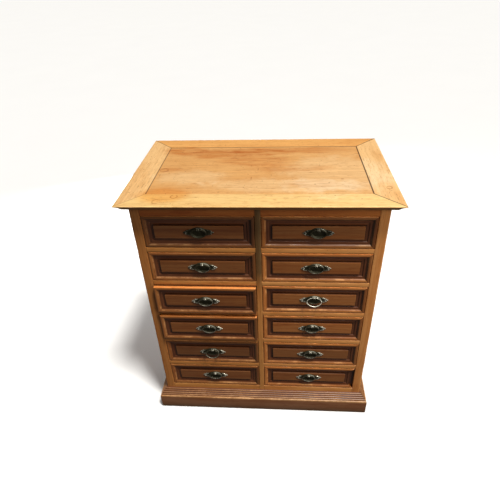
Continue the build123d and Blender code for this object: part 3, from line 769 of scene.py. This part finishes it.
def add_relief(bm, wear_layer, grime_layer, face, grime):
    """The plate: a dished oval with a raised rim and a boss, between two fluted wings."""
    columns, rows = 96, 30

    def half_height(x):
        x = abs(x)
        dish = DISH_Y * math.sqrt(max(0.0, 1 - (x / DISH_X) ** 2))
        wing = (13 - 4 * (x - 16) / 20) * min(1.0, max(0.0, (PLATE_REACH - x) / 12)) ** 0.75
        return max(dish, wing, 0.15)

    def relief(x, y):
        """Height above the field and how bright it is painted, at a place on the plate: rubbed metal and
        painted glints.
        """
        oval = math.hypot(x / DISH_X, y / DISH_Y)
        rim = math.exp(-((oval - 0.84) / 0.085) ** 2)
        inner_rim = math.exp(-((oval - 0.52) / 0.06) ** 2)
        boss = math.exp(-(oval / 0.2) ** 2)
        reach = abs(x)
        top = half_height(x)
        flute = 0.5 + 0.5 * math.cos((reach - 0.55 * y * (1 if y > 0 else -0.4) - 30) * 0.72)
        border = math.exp(-((abs(y) - 0.78 * top) / 2.0) ** 2)
        wing = min(1.0, max(0.0, (reach - 24) / 4))
        height = 1.1 + (1 - wing) * (2.3 * rim + 0.7 * inner_rim + 1.6 * boss - 0.5 * (oval < 0.7))
        height += wing * (1.3 * border + 1.5 * flute * math.exp(-((reach - 38) / 9) ** 2))
        beads = 0.25 * math.cos(math.atan2(y / DISH_Y, x / DISH_X) * 36) * rim * (1 - wing)
        # The upper right of the rim is painted brighter than the rest, and the wings are painted at least 0.6
        # bright: painted glints from the light above right, over the rubbed metal
        rim_rub_and_glint = 1.2 if y > 0 and x > -6 else 0.7
        bright = max((1 - wing) * (rim_rub_and_glint * rim + 0.2 * inner_rim + 0.5 * boss),
                     wing * max(0.6, 0.9 * border, 1.15 * flute * math.exp(-((reach - 39) / 8) ** 2)))
        return height + beads, bright

    grid = []
    for column in range(columns + 1):
        x = PLATE_REACH * math.sin(math.pi * (column / columns - 0.5))
        top = half_height(x)
        line = []
        for row in range(rows + 1):
            y = top * math.sin(math.pi * (row / rows - 0.5))
            height, bright = relief(x, y)
            edge = min(1.0, (top - abs(y)) / 1.0, (PLATE_REACH - abs(x)) / 1.0 + 0.2)
            height = 0.5 + (height - 0.5) * max(0.0, edge)
            vertex = bm.verts.new(face + (X * x + Z * y - Y * height) * MM)
            vertex[wear_layer] = bright
            vertex[grime_layer] = grime
            line.append(vertex)
        grid.append(line)
    for first, second in zip(grid, grid[1:]):
        for row in range(rows):
            bm.faces.new((first[row], second[row], second[row + 1], first[row + 1]))
    rim = [line[0] for line in grid] + grid[-1][1:]
    rim += [line[-1] for line in grid[-2::-1]] + grid[0][-2:0:-1]
    foot = []
    for vertex in rim:
        low = bm.verts.new((vertex.co.x, face.y, vertex.co.z))
        low[wear_layer] = 0.0
        low[grime_layer] = grime
        foot.append(low)
    for index in range(len(rim)):
        bm.faces.new((rim[index - 1], rim[index], foot[index], foot[index - 1]))
    bm.faces.new(foot)


def add_turning(bm, layers, centre, axis, across, profile, grime, sides=20):
    """A turned solid. profile is (distance along the axis, radius, wear) in millimetres."""
    wear_layer, grime_layer = layers
    other = axis.cross(across)
    loops = []
    for travel, radius, wear in profile:
        loop = []
        for index in range(sides):
            angle = 2 * math.pi * index / sides
            out = across * math.cos(angle) + other * math.sin(angle)
            vertex = bm.verts.new(centre + (axis * travel + out * radius) * MM)
            vertex[wear_layer] = wear
            vertex[grime_layer] = grime
            loop.append(vertex)
        loops.append(loop)
    skin(bm, loops)


def metal_mesh():
    """An empty mesh with the attributes that the bronze reads."""
    bm = bmesh.new()
    return bm, (bm.verts.layers.float.new("wear"), bm.verts.layers.float.new("grime"))


def make_handle(column, row, face, pivot, grime, bronze):
    body = f"{column}_drawer_{row}"
    node = f"drawer_{column}_{row}_handle"
    start = f"{column}_{row}_"
    bm, layers = metal_mesh()
    add_relief(bm, *layers, face, grime)
    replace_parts(finish_mesh(start + "plate", bm, bronze, body, 50), node)

    bm, layers = metal_mesh()
    knuckle = ((-4, 2.6, 0.2), (-3.8, 3.4, 0.6), (-3.2, 3.85, 1), (-1, 4.0, 0.6), (1, 4.0, 0.6),
               (3.2, 3.85, 1), (3.8, 3.4, 0.6), (4, 2.6, 0.2))
    add_turning(bm, layers, pivot, X, Y, knuckle, grime)
    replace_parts(finish_mesh(start + "eye", bm, bronze, body, 50), node)

    bm, layers = metal_mesh()
    shank = ((3.2, 2.0, 0.2), (4.4, 2.6, 0.6), (5.0, 4.4, 0.9), (5.6, 4.8, 0.5), (5.9, 2.0, 0), (33, 2.0, 0),
             (33.4, 1.5, 0.3))
    add_turning(bm, layers, pivot, Y, X, shank, grime)
    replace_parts(finish_mesh(start + "stem", bm, bronze, body, 40), node)

    bm, layers = metal_mesh()
    nut_at = Vector((pivot.x, face.y + FIELD_RISE + BOARD_THICKNESS, pivot.z))
    nut = ((0, 6.0, 0), (0.3, 6.36, 0.6), (3.2, 6.36, 0.6), (3.5, 5.9, 0.3))
    add_turning(bm, layers, nut_at, Y, (X + Z).normalized(), nut, grime, sides=4)
    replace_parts(finish_mesh(start + "nut", bm, bronze, body, 30), node)

    for side in (-1, 1):
        bm, layers = metal_mesh()
        head = face + X * (side * PIN_REACH * MM)
        pin = ((-2.9, 0.5, 1), (-2.8, 1.1, 1), (-2.3, 1.7, 0.8), (-1.4, 1.7, 0.2), (-1.2, 0.9, 0),
               (9, 0.9, 0))
        add_turning(bm, layers, head, Y, X, pin, grime, sides=12)
        name = start + ("left" if side < 0 else "right") + "_pin"
        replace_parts(finish_mesh(name, bm, bronze, body, 40), node)


def ring_path(flat=10.0, shoulder=(23.6, 45), end=(8.3, 85)):
    """Points of the oval ring in millimetres, from the left end of its straight top, hanging below it."""
    first, both = math.radians(shoulder[1]), math.radians(shoulder[1] + end[1])
    run = shoulder[0] * math.sin(first) + end[0] * (math.sin(both) - math.sin(first))
    base = ((flat / 2 + run) / math.sin(both), 360 - 2 * (shoulder[1] + end[1]))
    x, z, heading = -flat / 2, 0.0, 0.0
    points = [(x, z), (x + flat / 3, z), (x + 2 * flat / 3, z), (x + flat, z)]
    x += flat
    for radius, turn in (shoulder, end, base, end, shoulder):
        pieces = max(3, round(turn / 7))
        for _ in range(pieces):
            step = math.radians(turn / pieces)
            chord = 2 * radius * math.sin(step / 2)
            x += chord * math.cos(heading - step / 2)
            z += chord * math.sin(heading - step / 2)
            heading -= step
            points.append((x, z))
    return points[:-1]


def make_ring(column, row, pivot, swing, grime, bronze):
    """The wire thickens a little towards the bottom, where the hand has also rubbed it bright."""
    # The ring's brightness is rubbed metal; the ring of right 3, painted higher, also carries a painted glint
    brightness = 0.42 if (column, row) == BRIGHT_RING else 0.3
    path = ring_path()
    lowest = min(z for _, z in path)
    down = -Z * math.cos(swing) - Y * math.sin(swing)
    out = -Y * math.cos(swing) + Z * math.sin(swing)
    bm, (wear_layer, grime_layer) = metal_mesh()
    sides = 14
    loops = []
    for index, (x, z) in enumerate(path):
        before, after = path[index - 1], path[(index + 1) % len(path)]
        tangent = Vector((after[0] - before[0], after[1] - before[1])).normalized()
        normal = X * -tangent.y + down * -tangent.x
        share = z / lowest
        radius = 1.75 - 0.1 * share
        loop = []
        for side in range(sides):
            angle = 2 * math.pi * side / sides
            spoke = normal * math.cos(angle) + out * math.sin(angle)
            vertex = bm.verts.new(pivot + (X * x + down * -z + spoke * radius) * MM)
            vertex[wear_layer] = brightness + 0.15 * share + 0.35 * math.sin(angle)
            vertex[grime_layer] = grime
            loop.append(vertex)
        loops.append(loop)
    for index in range(len(loops)):
        first, second = loops[index - 1], loops[index]
        for side in range(sides):
            bm.faces.new((first[side - 1], first[side], second[side], second[side - 1]))
    ring = finish_mesh(f"{column}_{row}_ring_pull", bm, bronze, f"{column}_ring_{row}", 60)
    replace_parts(ring, f"drawer_{column}_{row}_ring")


# ---------------------------------------------------------------- camera, light and floor


def make_camera():
    """The camera that was fitted to the corners and edges in the photo."""
    camera = bpy.data.objects.new("camera", bpy.data.cameras.new("camera"))
    bpy.context.scene.collection.objects.link(camera)
    camera.data.lens = 30.6648
    camera.data.sensor_width = 36
    camera.location = (0.06728, -1.31819, 1.53541)
    camera.rotation_euler = [math.radians(angle) for angle in (55.139, 1.927, 3.561)]
    bpy.context.scene.camera = camera


def add_area_light(name, place, target, size, watts, colour):
    lamp = bpy.data.objects.new(name, bpy.data.lights.new(name, "AREA"))
    bpy.context.scene.collection.objects.link(lamp)
    lamp.data.shape = "RECTANGLE"
    lamp.data.size, lamp.data.size_y = size
    lamp.data.energy = watts
    lamp.data.color = colour
    lamp.location = place
    lamp.visible_camera = False
    lamp.rotation_euler = (Vector(target) - Vector(place)).to_track_quat("-Z", "Y").to_euler()
    return lamp


def make_stage():
    floor = bpy.data.meshes.new("floor")
    reach = 30.0
    floor.from_pydata([(-reach, -reach, 0), (reach, -reach, 0), (reach, reach, 0), (-reach, reach, 0)], [],
                      [(0, 1, 2, 3)])
    floor.materials.append(make_floor_material())
    ground = bpy.data.objects.new("floor", floor)
    bpy.context.scene.collection.objects.link(ground)
    ground.visible_diffuse = False
    ground.visible_glossy = False

    world = bpy.data.worlds.new("studio")
    bpy.context.scene.world = world
    world.use_nodes = True
    backdrop = world.node_tree.nodes["Background"]
    backdrop.inputs["Color"].default_value = (1.0, 0.98, 0.95, 1)
    backdrop.inputs["Strength"].default_value = 0.09
    sun = bpy.data.objects.new("sun", bpy.data.lights.new("sun", "SUN"))
    bpy.context.scene.collection.objects.link(sun)
    sun.data.energy = 3.3
    sun.data.angle = math.radians(10)
    sun.data.color = (1.0, 0.98, 0.94)
    sun.rotation_euler = Vector((0.30, -0.25, 1.0)).to_track_quat("Z", "Y").to_euler()
    add_area_light("window", (1.3, -1.1, 1.5), (0.2, -0.2, 0.5), (0.5, 0.8), 11, (1.0, 0.98, 0.95))
    # The ceiling lamp shows only as a gloss on the polish
    ceiling = add_area_light("ceiling", (0.5, -0.55, 2.4), (0.1, -0.2, 0.6), (1.0, 0.25), 24, (1, 0.98, 0.93))
    ceiling.visible_diffuse = False
    # These two light the back and the left side, which the photo doesn't show
    add_area_light("fill_back", (-0.6, 2.2, 0.5), (0, 0.25, 0.5), (1.6, 0.8), 45, (1.0, 0.98, 0.95))
    add_area_light("fill_left", (-2.2, 0.5, 0.5), (-0.4, 0.1, 0.5), (1.0, 0.8), 2.5, (1.0, 0.98, 0.95))
    bpy.context.scene.view_settings.view_transform = "Standard"


# ---------------------------------------------------------------- the whole cabinet


def main():
    make_camera()
    make_stage()
    top_wood = make_wood("top_wood", figure=0.32, streaks=0.75, pores=0.85, specks=0.9,
                         roughness=(0.42, 0.6), coat=0.1, stains=top_stains)
    case_wood = make_wood("case_wood", figure=0.6, streaks=0.85, pores=0.6, specks=0.9, coat=0.2)
    drawer_wood = make_wood("drawer_wood", figure=0.75, streaks=0.95, pores=0.65, specks=0.6,
                            roughness=(0.32, 0.48), coat=0.6, coat_roughness=0.16,
                            wear_and_sheen_tint=(2.3, 3.1, 4.8))
    plinth_wood = make_wood("plinth_wood", figure=0.7, streaks=0.9, pores=0.7, specks=0.8,
                            wear_and_sheen_tint=(1.7, 1.9, 2.2))
    back_pine = make_wood("back_pine", figure=0.6, streaks=0.7, pores=0.5, specks=0.4,
                          roughness=(0.62, 0.85), coat=0.0, bump=0.5)
    inner_pine = make_plain_pine("inner_pine", (196, 158, 112), (150, 108, 66))
    bronze = make_bronze()

    make_top(top_wood)
    make_case(case_wood, back_pine)
    make_plinth(plinth_wood, back_pine)
    joints = {joint["name"]: joint for joint in frame["joints"]}
    for column in ("left", "right"):
        for row in range(1, ROWS + 1):
            face = make_front(column, row, drawer_wood)
            pull = joints[f"{column}_pull_{row}"]
            pivot = Vector(pull["pos_m"])
            swing = -math.radians(pull["range_deg"][0])
            grime = DULL_HANDLES.get((column, row), 0.0)
            make_handle(column, row, face, pivot, grime, bronze)
            make_ring(column, row, pivot, swing, grime, bronze)

    for obj in frame["nodes"].values():
        if not obj.hide_render:
            obj.data.materials.clear()
            obj.data.materials.append(inner_pine)


main()
